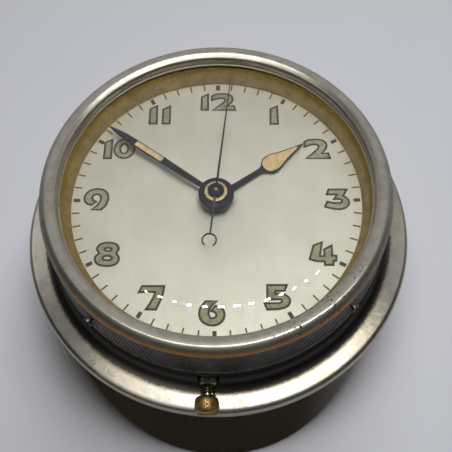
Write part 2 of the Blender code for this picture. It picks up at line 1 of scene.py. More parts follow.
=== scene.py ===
"""Looks of the ship's deck clock: fine surfaces, print, hands, materials, light and camera.

Lengths below are millimetres, and a mesh is scaled to metres as it is shown. The frame is the
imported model's: +Z runs from the back cover to the dial and the set button points along -Y.
"""

import json
import math

import bmesh
import bpy
from mathutils import Matrix, Vector

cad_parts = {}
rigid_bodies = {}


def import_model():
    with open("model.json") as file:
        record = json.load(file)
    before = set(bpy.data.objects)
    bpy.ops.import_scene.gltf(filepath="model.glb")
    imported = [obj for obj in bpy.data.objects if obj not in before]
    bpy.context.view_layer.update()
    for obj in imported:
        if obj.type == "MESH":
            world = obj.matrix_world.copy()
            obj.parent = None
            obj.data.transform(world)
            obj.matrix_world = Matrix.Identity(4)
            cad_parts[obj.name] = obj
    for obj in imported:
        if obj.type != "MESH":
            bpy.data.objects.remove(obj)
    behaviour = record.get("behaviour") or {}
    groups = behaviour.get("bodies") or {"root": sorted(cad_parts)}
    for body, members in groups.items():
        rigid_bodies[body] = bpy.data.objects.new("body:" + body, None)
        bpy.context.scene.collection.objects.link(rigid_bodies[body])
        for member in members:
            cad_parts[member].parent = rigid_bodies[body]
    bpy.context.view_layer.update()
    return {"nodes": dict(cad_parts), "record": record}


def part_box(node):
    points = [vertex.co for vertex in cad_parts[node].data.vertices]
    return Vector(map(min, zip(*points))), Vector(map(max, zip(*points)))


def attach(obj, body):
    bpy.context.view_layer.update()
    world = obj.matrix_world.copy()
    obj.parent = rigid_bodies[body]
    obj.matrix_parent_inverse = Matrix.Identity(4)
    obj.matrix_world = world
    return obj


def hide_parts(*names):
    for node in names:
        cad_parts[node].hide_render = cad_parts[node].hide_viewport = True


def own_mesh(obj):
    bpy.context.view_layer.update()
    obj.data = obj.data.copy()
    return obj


MM = 0.001
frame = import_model()


def top(node):
    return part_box(node)[1].z / MM


def foot(node):
    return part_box(node)[0].z / MM


def reach(node):
    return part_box(node)[1].x / MM


# Sizes read from the frame
DIAL_FACE = top("dial")
DIAL_RADIUS = reach("dial")
BEZEL_TOP = top("bezel_ring")
BEZEL_EDGE = reach("bezel_ring") + 0.45
RIM_TOP, RIM_FOOT = top("knurled_rim"), foot("knurled_rim")
RIM_RADIUS = reach("knurled_rim")
GLASS_TOP, GLASS_RADIUS = top("glass"), reach("glass")
FLANGE_RADIUS, FLANGE_BACK = reach("case_shell"), foot("case_shell")
NECK_TOP = top("case_shell")
CAN_TOP, CAN_FOOT = top("rear_can"), foot("rear_can")
STEM_HEIGHT = (top("set_knob") + foot("set_knob")) / 2

# Sizes of the looks, and steps round a turned shape
ON_AXIS = 1e-6
FINE, MEDIUM, SMALL = 256, 96, 32
NECK_RADIUS = 39.0
WALL_RADIUS = 42.7
SHOULDER = 37.0
SHEET = 0.9
EDGE = 1.5
FILLET = 4.2
GLASS_RISE = 3.2
PRINT_FOOT = DIAL_FACE - 0.05
HAND_SHEET = 0.4
DIAL_TWIST = 2.2
HOUR_ANGLE, MINUTE_ANGLE, SECONDS_ANGLE = 54.3, 306.1, 5.8
RIM_SCREW_ANGLE, RIM_SCREW_HEIGHT = 50.3, 42.6
PILLAR_RING, PILLAR_ANGLES = 32.5, (45, 145, 285)
KNURL_COUNT, KNURL_ROWS = 360, 9
KNURL_LOW, KNURL_HIGH = RIM_FOOT + 0.5, RIM_TOP - 0.8
KNURL_ROW = (KNURL_HIGH - KNURL_LOW) / KNURL_ROWS
RIM_EDGE, RIM_BORE = 42.45, 41.75

# Light
BOW_POWER = 0.083
BOW_SHARES = {"bezel_ring_fine": 0.45, "case_shell_fine": 0.85}
FLOOR_SUN = 0.95
# Elevation above the rear horizon, how near to it a lobe starts and is full (as cosines), and colour
SKY_LOBES = (
    (55, 0.55, 0.95, (0.15, 0.15, 0.14)),
    (12, 0.15, 0.75, (0.36, 0.36, 0.38)),
    (112, 0.72, 1.0, (0.16, 0.16, 0.155)),
)
BACKDROP = (0.30, 0.30, 0.32)


# Points and outlines


def polar(radius, degrees):
    angle = math.radians(degrees)
    return radius * math.cos(angle), radius * math.sin(angle)


def shifted(loop, centre, width=1.0, height=1.0):
    return [(centre[0] + width * x, centre[1] + height * y) for x, y in loop]


def arc(centre, radius, start, end, steps):
    turns = [start + (end - start) * step / steps for step in range(steps + 1)]
    return shifted([polar(radius, turn) for turn in turns], centre)


def ellipse(centre, half_width, half_height, steps=32):
    return shifted(arc((0, 0), 1.0, 0, 360, steps)[:-1], centre, half_width, half_height)


def rectangle(left, right, half_width):
    return [(left, -half_width), (right, -half_width), (right, half_width), (left, half_width)]


def rounded(corners):
    """Corners as (x, y) or (x, y, setback). A corner with a setback becomes a short curve."""
    steps = 4
    points = []
    for index, corner in enumerate(corners):
        here = Vector(corner[:2])
        if len(corner) == 2:
            points.append(tuple(here))
            continue
        before = Vector(corners[index - 1][:2]) - here
        after = Vector(corners[(index + 1) % len(corners)][:2]) - here
        start = here + before.normalized() * corner[2]
        end = here + after.normalized() * corner[2]
        for step in range(steps + 1):
            t = step / steps
            points.append(tuple(start * (1 - t) ** 2 + here * (2 * t * (1 - t)) + end * t**2))
    return points


def smooth(points, closed=False, steps=5):
    """A Catmull-Rom curve through the points."""
    count = len(points)
    spans = count if closed else count - 1
    curve = []
    for span in range(spans):
        near, far = Vector(points[span]), Vector(points[(span + 1) % count])
        before = Vector(points[span - 1]) if closed or span else 2 * near - far
        after = Vector(points[(span + 2) % count]) if closed or span < spans - 1 else 2 * far - near
        for step in range(steps):
            t = step / steps
            place = near * (2 - 5 * t**2 + 3 * t**3) + far * (t + 4 * t**2 - 3 * t**3)
            place += before * (2 * t**2 - t - t**3) + after * (t**3 - t**2)
            curve.append(tuple(place / 2))
    if not closed:
        curve.append(tuple(points[-1]))
    return curve


def trace(outline):
    """An outline whose corners are points and whose round stretches are lists of points."""
    points = []
    for item in outline:
        points += smooth(item) if isinstance(item, list) else [item]
    return points


def offset(loop, distance):
    """A closed loop moved to its left, with mitred corners."""
    points = []
    for index, point in enumerate(loop):
        here = Vector(point)
        before = (here - Vector(loop[index - 1])).normalized()
        after = (Vector(loop[(index + 1) % len(loop)]) - here).normalized()
        left = Vector((-before.y - after.y, before.x + after.x))
        mitre = distance * 2 / max(left.length_squared, 1.0)
        points.append(tuple(here + left * mitre))
    return points


def mirrored(side):
    """The outline whose upper half runs along +X."""
    return side + [(x, -y) for x, y in reversed(side) if y > 0]


# Meshes


def mesh_of(shape):
    mesh = bpy.data.meshes.new("shape")
    shape.to_mesh(mesh)
    shape.free()
    return mesh


def turned(profile, segments=FINE, ripple=None):
    """(radius, height) points, running down the outer side, turned about Z. A profile that starts off the
    axis closes on itself. ripple changes a radius."""
    shape = bmesh.new()
    rings = []
    for radius, height in profile:
        if radius < ON_AXIS:
            rings.append([shape.verts.new((0.0, 0.0, height))])
            continue
        ring = []
        for step in range(segments):
            degrees = 360 * step / segments
            changed = ripple(radius, height, degrees) if ripple else radius
            ring.append(shape.verts.new((*polar(changed, degrees), height)))
        rings.append(ring)
    pairs = list(zip(rings, rings[1:]))
    if profile[0][0] >= ON_AXIS:
        pairs.append((rings[-1], rings[0]))
    for upper, lower in pairs:
        for step in range(segments):
            after = (step + 1) % segments
            places = ((upper, step), (lower, step), (lower, after), (upper, after))
            corners = list(dict.fromkeys(ring[place % len(ring)] for ring, place in places))
            if len(corners) > 2:
                shape.faces.new(corners)
    return mesh_of(shape)


def bridge(shape, first, second):
    """Adds the faces between two rings of points."""
    for index in range(len(first)):
        after = (index + 1) % len(first)
        shape.faces.new((first[index], first[after], second[after], second[index]))


def prism(shape, outline, low, high):
    """Adds a closed prism on an anticlockwise outline to the shape."""
    floor, lid = [[shape.verts.new((x, y, height)) for x, y in outline] for height in (low, high)]
    shape.faces.new(floor[::-1])
    shape.faces.new(lid)
    bridge(shape, floor, lid)


def ribbon(shape, loop, half_width, low, high):
    """Adds a raised line of even width along a closed loop to the shape, with its top edges eased."""
    ease = 0.3 * half_width
    outer = [(-half_width, low), (-half_width, high - ease), (ease - half_width, high)]
    rings = []
    for distance, height in outer + [(-away, level) for away, level in outer[::-1]]:
        rings.append([shape.verts.new((x, y, height)) for x, y in offset(loop, distance)])
    for first, second in zip(rings, rings[1:] + rings[:1]):
        bridge(shape, first, second)


def added(data, name="helper"):
    """A new object in the scene."""
    obj = bpy.data.objects.new(name, data)
    bpy.context.scene.collection.objects.link(obj)
    return obj


def evaluated_mesh(obj):
    """The welded mesh of an object as its modifiers leave it. The object is removed."""
    bpy.context.view_layer.update()
    graph = bpy.context.evaluated_depsgraph_get()
    mesh = bpy.data.meshes.new_from_object(obj.evaluated_get(graph))
    mesh.transform(obj.matrix_world)
    bpy.data.objects.remove(obj, do_unlink=True)
    shape = bmesh.new()
    shape.from_mesh(mesh)
    bmesh.ops.remove_doubles(shape, verts=shape.verts, dist=0.0005)
    shape.to_mesh(mesh)
    shape.free()
    return mesh


def add_line(curve, points, closed):
    spline = curve.splines.new("POLY")
    spline.points.add(len(points) - 1)
    for point, place in zip(spline.points, points):
        point.co = (*place, 1.0)
    spline.use_cyclic_u = closed


def flat(outlines, low, high):
    """The first outline with the others cut out of it, from one height to another."""
    curve = bpy.data.curves.new("outline", "CURVE")
    curve.dimensions = "2D"
    curve.fill_mode = "BOTH"
    curve.extrude = (high - low) / 2
    for outline in outlines:
        add_line(curve, [(x, y, 0.0) for x, y in outline], closed=True)
    obj = added(curve)
    obj.location.z = (low + high) / 2
    return evaluated_mesh(obj)


def wire(points, radius):
    curve = bpy.data.curves.new("wire", "CURVE")
    curve.dimensions = "3D"
    curve.bevel_depth = radius
    curve.bevel_resolution = 4
    curve.use_fill_caps = True
    add_line(curve, points, closed=False)
    return evaluated_mesh(added(curve))


def gathered(meshes):
    """Several meshes as one, which stay separate solids."""
    shape = bmesh.new()
    for mesh in meshes:
        shape.from_mesh(mesh)
    return mesh_of(shape)


def combined(body, others, operation):
    obj = added(body)
    tools = [added(other) for other in others]
    for tool in tools:
        boolean = obj.modifiers.new(operation.lower(), "BOOLEAN")
        boolean.operation = operation
        boolean.object = tool
    mesh = evaluated_mesh(obj)
    for tool in tools:
        bpy.data.objects.remove(tool, do_unlink=True)
    return mesh


def cut(body, *others):
    return combined(body, others, "DIFFERENCE")


def joined(body, *others):
    return combined(body, others, "UNION")


def eased(mesh, width):
    """The mesh with its sharp edges bevelled."""
    obj = added(mesh)
    bevel = obj.modifiers.new("ease", "BEVEL")
    bevel.width = width
    bevel.segments = 2
    bevel.limit_method = "ANGLE"
    bevel.angle_limit = math.radians(30)
    return evaluated_mesh(obj)


def rotation(degrees, axis="Z"):
    return Matrix.Rotation(math.radians(degrees), 4, axis)


def moved(mesh, x, y):
    mesh.transform(Matrix.Translation((x, y, 0)))
    return mesh


def spun(mesh, degrees):
    mesh.transform(rotation(degrees))
    return mesh


def along_minus_y(mesh):
    """Lays a shape turned about Z along the button's line, with its heights as distances from the centre."""
    mesh.transform(Matrix.Translation((0, 0, STEM_HEIGHT)) @ rotation(90, "X"))
    return mesh


def radial(mesh, degrees, height):
    """Lays a shape turned about Z along a radius, with its heights as distances from the centre."""
    mesh.transform(Matrix.Translation((0, 0, height)) @ rotation(degrees) @ rotation(90, "Y"))
    return mesh


def show(name, mesh, look, body, *nodes, slot=None, sharp=35):
    """Shows a mesh given in millimetres, which rides on the body and stands for the CAD nodes."""
    mesh.transform(Matrix.Scale(MM, 4))
    mesh.name = name
    mesh.materials.clear()
    mesh.materials.append(look)
    mesh.shade_smooth()
    mesh.set_sharp_from_angle(angle=math.radians(sharp))
    obj = added(mesh, name)
    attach(obj, body)
    if nodes:
        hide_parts(*nodes)
    return obj


def show_fine(node, mesh, look, body, slot, sharp=35):
    """Shows the fine form of one CAD node."""
    return show(f"{node}_fine", mesh, look, body, node, slot=slot, sharp=sharp)


# Materials


class Graph:
    """A shader's nodes, with short ways to add and link them."""

    def __init__(self, tree):
        self.tree = tree

    def node(self, kind, inputs=None, **settings):
        """A new node. inputs gives a socket or a constant for each input, by name or number."""
        made = self.tree.nodes.new(kind)
        for name, value in settings.items():
            setattr(made, name, value)
        for key, source in (inputs or {}).items():
            self.feed(made.inputs[key], source)
        return made

    def feed(self, socket, source):
        """Links a source to a socket, or sets a constant on it."""
        if isinstance(source, bpy.types.NodeSocket):
            self.tree.links.new(source, socket)
        elif isinstance(source, tuple) and socket.type == "RGBA":
            socket.default_value = (*source, 1.0)
        else:
            socket.default_value = source

    def vector(self, operation, first, second):
        second_input = "Scale" if operation == "SCALE" else 1
        made = self.node("ShaderNodeVectorMath", {0: first, second_input: second}, operation=operation)
        return made.outputs["Value" if operation in ("DISTANCE", "DOT_PRODUCT") else "Vector"]

    def band(self, source, start, end):
        """0 below start and 1 above end, smoothly between. start may be the higher one."""
        low, high = (0.0, 1.0) if start < end else (1.0, 0.0)
        inputs = {"Value": source, "From Min": min(start, end), "From Max": max(start, end),
                  "To Min": low, "To Max": high}
        return self.node("ShaderNodeMapRange", inputs, interpolation_type="SMOOTHSTEP").outputs["Result"]


class Look(Graph):
    """A material being built: a Principled shader and short ways to add texture nodes, in millimetres."""

    def __init__(self, name, colour, roughness, metallic=1.0, **constants):
        self.material = bpy.data.materials.new(name)
        self.material.use_nodes = True
        super().__init__(self.material.node_tree)
        self.shader = self.tree.nodes["Principled BSDF"]
        constants.update(base_color=(*colour, 1.0), roughness=roughness, metallic=metallic)
        for socket, value in constants.items():
            self.shader.inputs[socket.replace("_", " ").title().replace("Ior", "IOR")].default_value = value
        self.place = self.vector("SCALE", self.node("ShaderNodeTexCoord").outputs["Object"], 1 / MM)
        self.x, self.y, self.z = self.node("ShaderNodeSeparateXYZ", {0: self.place}).outputs
        squares = self.maths("ADD", self.times(self.x, self.x), self.times(self.y, self.y))
        self.radius = self.maths("SQRT", squares)

    def maths(self, operation, total, *others):
        """The operation on two numbers or masks, then on its result and each further one."""
        for other in others or (0.0,):
            total = self.node("ShaderNodeMath", {0: total, 1: other}, operation=operation).outputs[0]
        return total

    def times(self, *factors):
        """The product of masks and numbers, which is also where masks overlap."""
        return self.maths("MULTIPLY", *factors)

    def either(self, *masks):
        return self.maths("MAXIMUM", *masks)

    def spot(self, x, y, z, size, softness):
        """1 within a distance of a point, fading out over the softness share of it."""
        away = self.vector("DISTANCE", self.place, (x, y, z))
        return self.band(away, size * (1 + softness), size * (1 - softness))

    def turn(self):
        """The angle round the axis, in radians."""
        return self.maths("ARCTAN2", self.y, self.x)

    def polar_place(self, radius_scale, turn_scale, height_scale):
        """Scaled radius, turn and height, for marks that run round the axis."""
        scales = ((self.radius, radius_scale), (self.turn(), turn_scale), (self.z, height_scale))
        parts = {number: self.times(*scale) for number, scale in enumerate(scales)}
        return self.node("ShaderNodeCombineXYZ", parts).outputs[0]

    def stretched(self, x_scale, y_scale):
        return self.vector("MULTIPLY", self.place, (x_scale, y_scale, 1.0))

    def noise(self, scale, detail=3.0, vector=None, rough=0.55):
        inputs = {"Vector": vector or self.place, "Scale": scale, "Detail": detail, "Roughness": rough}
        return self.node("ShaderNodeTexNoise", inputs).outputs[0]

    def mix(self, factor, first, second, share=None):
        """The first colour, or the second where the mask is 1, or that share of the second."""
        if share:
            factor = self.times(factor, share)
        made = self.node("ShaderNodeMix", data_type="RGBA")
        for number, source in ((0, factor), (6, first), (7, second)):
            self.feed(made.inputs[number], source)
        return made.outputs[2]

    def between(self, factor, low, high):
        """A number from low to high as the factor goes from 0 to 1."""
        inputs = {"Value": factor, "To Min": low, "To Max": high}
        return self.node("ShaderNodeMapRange", inputs).outputs["Result"]

    def finished(self, colour, roughness, height, distance, strength):
        """The material, which the height mask raises by up to the distance."""
        inputs = {"Strength": strength, "Distance": distance * MM, "Height": height}
        bump = self.node("ShaderNodeBump", inputs).outputs[0]
        for name, source in (("Base Color", colour), ("Roughness", roughness), ("Normal", bump)):
            self.feed(self.shader.inputs[name], source)
        return self.material

    def turned_brushing(self):
        """Lets the highlight spread across marks that run round the axis."""
        tangent = self.node("ShaderNodeTangent", direction_type="RADIAL", axis="Z")
        self.feed(self.shader.inputs["Tangent"], tangent.outputs[0])


def case_nickel():
    """Satin plate spun on a lathe, mottled yellow and grey, with brown stains on the flange and painted shade
    darkening the wall, fillet and inner flange.
    """
    look = Look("case_nickel", (0.50, 0.48, 0.42), 0.3, anisotropic=0.75, anisotropic_rotation=0.25)
    blotches = look.band(look.noise(0.09, 4), 0.38, 0.66)
    plate = look.mix(blotches, (0.43, 0.42, 0.37), (0.47, 0.42, 0.31))
    clouds = look.band(look.noise(0.35, 5, rough=0.65), 0.35, 0.75)
    plate = look.mix(clouds, plate, (0.29, 0.28, 0.25), 0.55)
    freckles = look.band(look.noise(1.1, 3), 0.66, 0.74)
    plate = look.mix(freckles, plate, (0.22, 0.17, 0.11), 0.7)
    ragged = look.noise(0.9, 5, rough=0.65)
    stain = look.times(look.spot(6.5, -47.6, 29.1, 2.6, 0.6), look.band(ragged, 0.45, 0.60))
    specks = look.times(look.spot(-10.0, -48.0, 29.1, 6.0, 0.6), look.band(look.noise(1.6, 2), 0.60, 0.66))
    plate = look.mix(look.either(stain, specks), plate, (0.24, 0.17, 0.08), 0.55)
    wavy_radius = look.maths("ADD", look.radius, look.times(ragged, 1.6))
    low = look.band(look.z, 37.3, 36.9)
    rusty = look.times(look.band(wavy_radius, 47.6, 46.7), low)
    plate = look.mix(rusty, plate, (0.26, 0.19, 0.09), 0.5)
    # Painted shade: the wall, fillet and inner flange go near black where the bezel's shadow falls and the
    # dark front is reflected.
    fillet_painted_shade = look.times(look.band(wavy_radius, 46.9, 46.3), low)
    plate = look.mix(fillet_painted_shade, plate, (0.06, 0.059, 0.057), 0.9)
    rings = look.noise(1.0, 2, look.polar_place(9.0, 6.0, 9.0))
    relief = look.maths("ADD", look.times(rings, 0.35), look.noise(0.6, 3))
    look.turned_brushing()
    return look.finished(plate, look.between(look.noise(0.5, 4), 0.24, 0.34), relief, 0.07, 0.5)


def bezel_nickel():
    """Plate, with painted shade darkening the roll's outer foot, worn brown in front and round its inner lip,
    and pitted.
    """
    look = Look("bezel_nickel", (0.50, 0.48, 0.41), 0.3, anisotropic=0.5, anisotropic_rotation=0.25)
    clouds = look.noise(0.4, 5, rough=0.6)
    plate = look.mix(look.band(clouds, 0.35, 0.7), (0.52, 0.50, 0.43), (0.42, 0.40, 0.33))
    # Painted shade: the roll's outer side, which curves away from the lamps, is darkened in the colour.
    outer_painted_shade = look.band(look.radius, BEZEL_EDGE - 1.0, BEZEL_EDGE)
    plate = look.mix(outer_painted_shade, plate, (0.13, 0.13, 0.12), 0.85)
    edge = look.noise(0.8, 4, look.polar_place(1.0, 14.0, 1.0))
    wavy_height = look.maths("ADD", look.z, look.times(edge, 1.5))
    low_outside = (look.band(look.radius, 41.0, 41.7), look.band(wavy_height, 51.5, 50.6))
    outer_wear = look.times(*low_outside, look.band(look.y, -12.0, -34.0))
    plate = look.mix(outer_wear, plate, (0.38, 0.205, 0.07))
    scratches = look.noise(1.0, 3, look.polar_place(7.0, 3.0, 7.0))
    inner_wear = look.times(look.band(look.radius, 39.9, 39.1), look.band(look.z, 50.8, 50.3),
                            look.band(scratches, 0.25, 0.6))
    plate = look.mix(inner_wear, plate, (0.33, 0.29, 0.22), 0.75)
    near_five = look.spot(26.0, -32.0, 50.5, 13.0, 0.5)
    more_pits = look.times(near_five, look.band(look.noise(1.5, 1), 0.64, 0.67))
    pits = look.either(look.band(look.noise(1.9, 1), 0.73, 0.76), more_pits)
    plate = look.mix(pits, plate, (0.03, 0.02, 0.02))
    worn = look.either(look.band(look.radius, 40.7, 42.0), inner_wear)
    roughness = look.maths("ADD", look.between(clouds, 0.20, 0.28), look.times(worn, 0.2))
    relief = look.maths("SUBTRACT", look.times(scratches, 0.25), pits)
    look.turned_brushing()
    return look.finished(plate, roughness, relief, 0.06, 0.6)


def knurl_nickel():
    """Plate darkened partly by dirt and partly as painted shade, with painted shade in the valleys of the
    knurling and brown brass at the plain top edge.
    """
    look = Look("knurl_nickel", (0.2, 0.2, 0.2), 0.42)
    # The plate's dark colours are partly dirt and partly painted shade, standing in for the dark surroundings
    # that the rim reflects.
    dirt = look.noise(0.5, 4)
    metal = look.mix(look.band(dirt, 0.35, 0.7), (0.19, 0.187, 0.18), (0.11, 0.108, 0.103))
    # Painted shade: the valleys of the knurling are darkened in the colour.
    across = look.maths("COSINE", look.times(look.turn(), KNURL_COUNT))
    along = look.maths("SUBTRACT", look.z, KNURL_HIGH)
    along = look.maths("COSINE", look.times(along, math.pi / KNURL_ROW))
    valley = look.times(look.band(look.times(across, along), 0.35, -0.35),
                        look.band(look.z, KNURL_LOW - 0.1, KNURL_LOW + 0.1),
                        look.band(look.z, KNURL_HIGH + 0.1, KNURL_HIGH - 0.1))
    metal = look.mix(valley, metal, (0.02, 0.02, 0.02), 0.85)
    top_edge = look.times(look.band(look.z, KNURL_HIGH, KNURL_HIGH + 0.25), look.band(look.y, -8.0, -34.0))
    metal = look.mix(top_edge, metal, (0.20, 0.115, 0.045))
    places = [polar(RIM_RADIUS - 0.2, RIM_SCREW_ANGLE + 90 * quarter) for quarter in range(4)]
    seats = look.either(*[look.spot(*place, RIM_SCREW_HEIGHT, 1.9, 0.25) for place in places])
    metal = look.mix(seats, metal, (0.035, 0.03, 0.03))
    return look.finished(metal, look.between(dirt, 0.32, 0.48), look.noise(3.0, 3), 0.03, 0.4)


def gold_reflector():
    look = Look("gold_reflector", (0.5, 0.4, 0.18), 0.5)
    clouds = look.noise(0.3, 5, rough=0.65)
    metal = look.mix(look.band(clouds, 0.35, 0.68), (0.36, 0.25, 0.065), (0.25, 0.17, 0.045))
    spots = look.band(look.noise(0.9, 3), 0.66, 0.72)
    metal = look.mix(spots, metal, (0.10, 0.07, 0.03), 0.8)
    return look.finished(metal, look.between(clouds, 0.45, 0.65), look.noise(0.8, 4), 0.05, 0.4)


def silvered_dial():
    """Silvered brass brushed from twelve to six, stained a little, with a painted warm glow round its edge
    that is strongest towards the back.
    """
    look = Look("silvered_dial", (0.27, 0.26, 0.22), 0.45, metallic=0.22)
    brushing = look.noise(1.0, 3, look.stretched(5.5, 0.10), rough=0.7)
    streaks = look.noise(1.0, 3, look.stretched(0.45, 0.035))
    clouds = look.noise(0.10, 4)
    silver = look.mix(look.band(clouds, 0.3, 0.7), (0.275, 0.262, 0.222), (0.245, 0.232, 0.19))
    silver = look.mix(look.band(streaks, 0.45, 0.75), silver, (0.24, 0.22, 0.165), 0.30)
    silver = look.mix(look.band(brushing, 0.35, 0.8), silver, (0.21, 0.195, 0.165), 0.22)
    # Painted reflected light: the warm glow thrown from the gold reflector is painted as yellow round the
    # edge.
    rearward = look.between(look.band(look.y, -28.0, 14.0), 0.15, 1.0)
    edge = look.times(look.band(look.radius, 33.6, 37.2), rearward)
    silver = look.mix(edge, silver, (0.28, 0.22, 0.11), 0.4)
    specks = look.band(look.noise(1.3, 1), 0.75, 0.78)
    silver = look.mix(specks, silver, (0.25, 0.19, 0.10), 0.6)
    return look.finished(silver, look.between(brushing, 0.42, 0.56), brushing, 0.02, 0.35)


def dial_paint():
    look = Look("dial_paint", (0.012, 0.012, 0.010), 0.6, metallic=0.0, specular_ior_level=0.15)
    worn = look.band(look.noise(1.7, 3), 0.52, 0.70)
    black = look.mix(worn, (0.012, 0.012, 0.008), (0.035, 0.032, 0.020))
    return look.finished(black, 0.6, look.noise(4.0, 2), 0.02, 0.5)


def lume(name, fresh, aged):
    """Old luminous paint: a dry, mottled, slightly lumpy fill with dark specks."""
    look = Look(name, fresh, 0.8, metallic=0.0, specular_ior_level=0.2)
    mottled = look.noise(0.9, 5, rough=0.7)
    paint = look.mix(look.band(mottled, 0.3, 0.7), fresh, aged)
    specks = look.band(look.noise(2.6, 2), 0.60, 0.70)
    paint = look.mix(specks, paint, tuple(0.35 * part for part in aged), 0.8)
    return look.finished(paint, look.between(mottled, 0.7, 0.9), look.noise(2.2, 4), 0.08, 0.7)


def brass(name, bright, tarnished, polish=0.3, pitting=0.0):
    look = Look(name, bright, polish)
    film = look.noise(0.7, 5, rough=0.65)
    metal = look.mix(look.band(film, 0.35, 0.7), bright, tarnished)
    pits = look.times(look.band(look.noise(2.4, 4), 0.52, 0.64), pitting)
    metal = look.mix(pits, metal, (0.05, 0.03, 0.015))
    relief = look.maths("SUBTRACT", look.times(film, 0.4), pits)
    return look.finished(metal, look.between(film, polish - 0.08, polish + 0.15), relief, 0.10, 0.6)


def steel(name, colour, polish, scale=1.2, clear=0.4, shade=0.6, grain=4.0, depth=0.015):
    """Steel whose film is clear up to a level of its noise, and then darkens to the shade."""
    look = Look(name, colour, polish)
    film = look.noise(scale, 4)
    metal = look.mix(look.band(film, clear, 0.7), colour, tuple(shade * part for part in colour))
    roughness = look.between(film, polish - 0.06, polish + 0.12)
    return look.finished(metal, roughness, look.noise(grain, 2), depth, 0.3)


def clear_glass():
    """Clear glass that lets the lamps light what is under it."""
    look = Look("clear_glass", (0.985, 0.99, 0.985), 0.0, metallic=0.0, transmission_weight=1.0, ior=1.47)
    path = look.node("ShaderNodeLightPath")
    through = look.node("ShaderNodeBsdfTransparent", {0: (0.93, 0.94, 0.92)})
    choice = {0: path.outputs["Is Shadow Ray"], 1: look.shader.outputs[0], 2: through.outputs[0]}
    blend = look.node("ShaderNodeMixShader", choice)
    look.feed(look.tree.nodes["Material Output"].inputs["Surface"], blend.outputs[0])
    return look.material


def pale_floor():
    look = Look("pale_floor", (0.78, 0.78, 0.82), 0.7, metallic=0.0)
    paper = look.mix(look.noise(0.02, 3), (0.76, 0.765, 0.81), (0.80, 0.805, 0.85))
    return look.finished(paper, 0.7, look.noise(0.8, 3), 0.02, 0.2)


CASE = case_nickel()
BEZEL = bezel_nickel()
KNURL = knurl_nickel()
GOLD = gold_reflector()
SILVER = silvered_dial()
PAINT = dial_paint()
NUMERAL_LUME = lume("numeral_lume", (0.185, 0.17, 0.105), (0.105, 0.098, 0.06))
HAND_LUME = lume("hand_lume", (0.37, 0.275, 0.14), (0.25, 0.172, 0.078))
BLUING = {"scale": 0.8, "clear": 0.35, "shade": 0.55, "grain": 5.0, "depth": 0.01}
BLUED = steel("blued_steel", (0.018, 0.018, 0.024), 0.28, **BLUING)
HUB_STEEL = steel("hub_steel", (0.016, 0.016, 0.021), 0.30, **BLUING)
BRASS = brass("plain_brass", (0.62, 0.44, 0.17), (0.42, 0.29, 0.12))
BRIGHT_BRASS = brass("bright_brass", (0.50, 0.40, 0.20), (0.34, 0.26, 0.13), 0.26, 0.3)
WORN_BRASS = brass("worn_brass", (0.52, 0.34, 0.13), (0.24, 0.14, 0.05), 0.40, 1.0)
CASE_BRASS = brass("case_brass", (0.50, 0.38, 0.18), (0.33, 0.24, 0.11), 0.36, 0.3)
STEEL = steel("plain_steel", (0.50, 0.49, 0.48), 0.28)
DARK_STEEL = steel("dark_steel", (0.20, 0.18, 0.17), 0.34)
SPRING_STEEL = steel("spring_steel", (0.26, 0.22, 0.14), 0.36)
# Painted light: the collar's nickel is brighter than the other plate, standing in for light it lacks in the
# rim's shadow.
COLLAR_NICKEL_PAINTED_LIGHT = brass("collar_nickel", (0.72, 0.69, 0.58), (0.34, 0.31, 0.25), 0.34, 0.5)
GLASS = clear_glass()
FLOOR = pale_floor()


# Case


def case_shell():
    """The neck, fillet and flange, with a hole for the button and a window for the winding wheel."""
    fillet_middle = (WALL_RADIUS + FILLET, FLANGE_BACK + 3.4 + FILLET)
    front = FLANGE_BACK + 3.1
    profile = rounded(
        [(NECK_RADIUS - 0.8, NECK_TOP), (NECK_RADIUS, NECK_TOP, 0.2), (NECK_RADIUS, SHOULDER, 0.3),
         (WALL_RADIUS, SHOULDER, 0.5), (WALL_RADIUS, fillet_middle[1])])
    profile += arc(fillet_middle, FILLET, 180, 270, 16)[1:]
    profile += arc((FLANGE_RADIUS - EDGE, front - EDGE), EDGE, 90, 0, 10)
    profile += rounded(
        [(FLANGE_RADIUS, FLANGE_BACK + 1), (FLANGE_RADIUS, FLANGE_BACK, 0.15),
         (FLANGE_RADIUS - SHEET, FLANGE_BACK, 0.15), (FLANGE_RADIUS - SHEET, front - EDGE, 0.3),
         (fillet_middle[0] + 1, front - SHEET)])
    profile += arc(fillet_middle, FILLET + SHEET, 270, 180, 12)
    profile += [(WALL_RADIUS - SHEET, SHOULDER - SHEET), (NECK_RADIUS - 0.8, SHOULDER - SHEET)]
    shell = turned(profile)
    hole = [(0, 48.5), (3.0, 48.5), (3.0, 45.2), (2.6, 44.9), (2.6, 39.5), (0, 39.5)]
    button_hole = along_minus_y(turned(hole, MEDIUM))
    arbor = sum(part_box("winding_wheel"), Vector()) / 2
    outwards = math.degrees(math.atan2(arbor.y, arbor.x))
    window = spun(flat([rectangle(36, NECK_RADIUS + 2, 6.8)], 37.4, 40.1), outwards)
    show_fine("case_shell", cut(shell, button_hole, window), CASE, "case", "nickel")


def rear_can():
    lip = reach("rear_can")
    inner = NECK_RADIUS - SHEET
    profile = rounded(
        [(inner, CAN_TOP, 0.1), (lip, CAN_TOP, 0.2), (lip, CAN_TOP - 0.8, 0.2),
         (NECK_RADIUS, CAN_TOP - 0.8, 0.8), (NECK_RADIUS, CAN_FOOT, 0.2), (inner, CAN_FOOT, 0.2)])
    show_fine("rear_can", turned(profile), CASE_BRASS, "case", "brass")


def screw(radius, low, high, shank, shank_low, slot_depth=0.35):
    """A cheese-head screw that points down, with a slot across its head. low and high bound the head."""
    profile = rounded([(0, high), (radius, high, 0.2), (radius, low, 0.08), (shank, low),
                       (shank, shank_low), (0, shank_low)])
    slot = rectangle(-radius - 0.5, radius + 0.5, 0.16 * radius)
    return cut(turned(profile, SMALL), flat([slot], high - slot_depth, high + 1))


